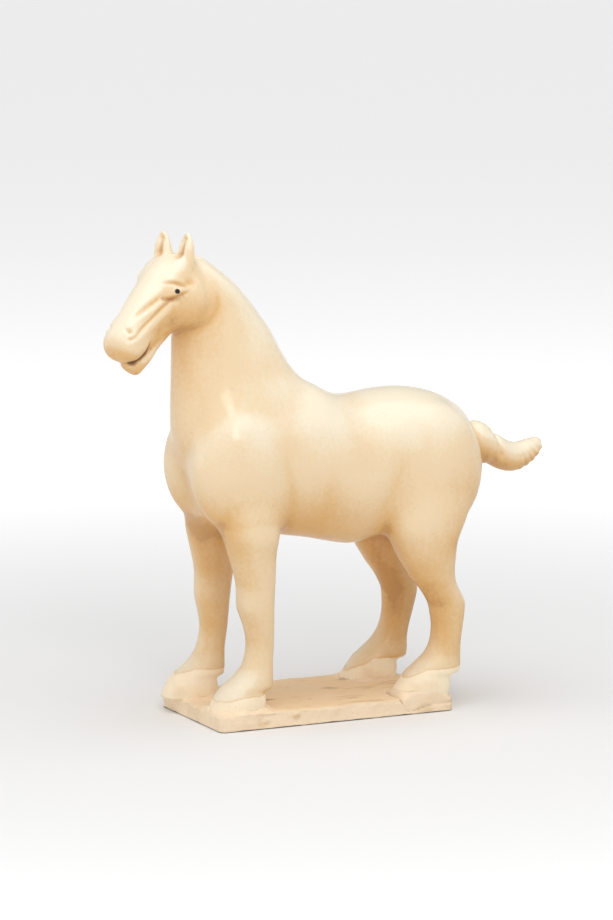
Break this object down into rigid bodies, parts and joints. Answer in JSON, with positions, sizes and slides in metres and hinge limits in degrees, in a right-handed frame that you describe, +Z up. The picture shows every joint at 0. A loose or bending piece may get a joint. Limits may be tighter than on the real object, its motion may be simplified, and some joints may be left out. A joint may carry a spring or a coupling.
{
  "type": "ceramic horse",
  "caption": "Glazed pottery figure of a standing horse with its head turned, luted to a thin clay slab.",
  "frame": {"origin": "centre of the slab's underside", "axes": "+Z up, the horse faces -Y, its own left side is +X"},
  "size_m": [0.1087, 0.3524, 0.349],
  "materials": {
    "straw_glaze": "thin glossy straw-cream glaze, finely crazed, pooled amber in the creases",
    "bare_clay": "unglazed fired pale buff clay, matt and stained"
  },
  "bodies": {
    "root": {"horse": "straw_glaze", "base_slab": "bare_clay"}
  },
  "joints": []
}
